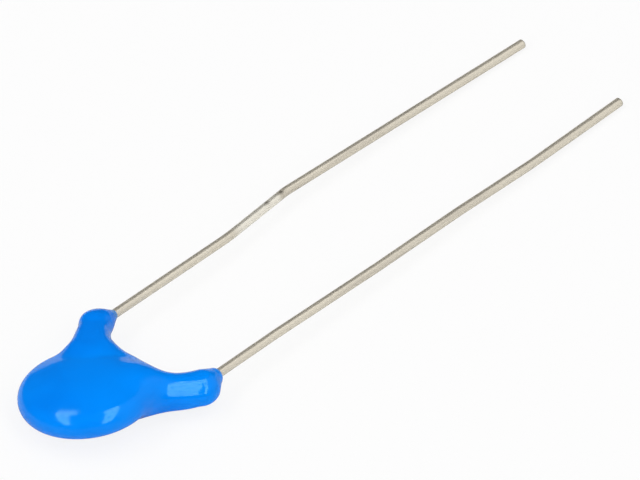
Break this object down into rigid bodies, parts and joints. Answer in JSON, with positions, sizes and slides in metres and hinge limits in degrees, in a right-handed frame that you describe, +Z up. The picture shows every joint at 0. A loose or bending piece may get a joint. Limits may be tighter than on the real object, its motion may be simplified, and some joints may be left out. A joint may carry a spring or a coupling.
{
  "type": "ceramic disc capacitor",
  "caption": "Radial ceramic disc capacitor: a domed dip-coated disc on rounded legs, with long thin wire leads to solder into a board, the first of them slightly bent.",
  "frame": {"origin": "middle of the box round the part, on the surface that it lies on", "axes": "+Z up from the surface, +Y from the disc to the tips of the leads, +X from the first lead to the second"},
  "size_m": [0.0096, 0.041, 0.0029],
  "materials": {
    "blue_epoxy": "glossy dip-coated epoxy",
    "tinned_wire": "satin tin over copper-clad steel",
    "dielectric_ceramic": "matte fired ceramic",
    "fired_silver": "matte fired silver",
    "solder": "bright soft solder"
  },
  "bodies": {
    "root": {"epoxy_coating": "blue_epoxy", "first_lead": "tinned_wire", "second_lead": "tinned_wire", "ceramic_disc": "dielectric_ceramic", "upper_electrode": "fired_silver", "lower_electrode": "fired_silver", "upper_solder": "solder", "lower_solder": "solder"}
  },
  "joints": []
}
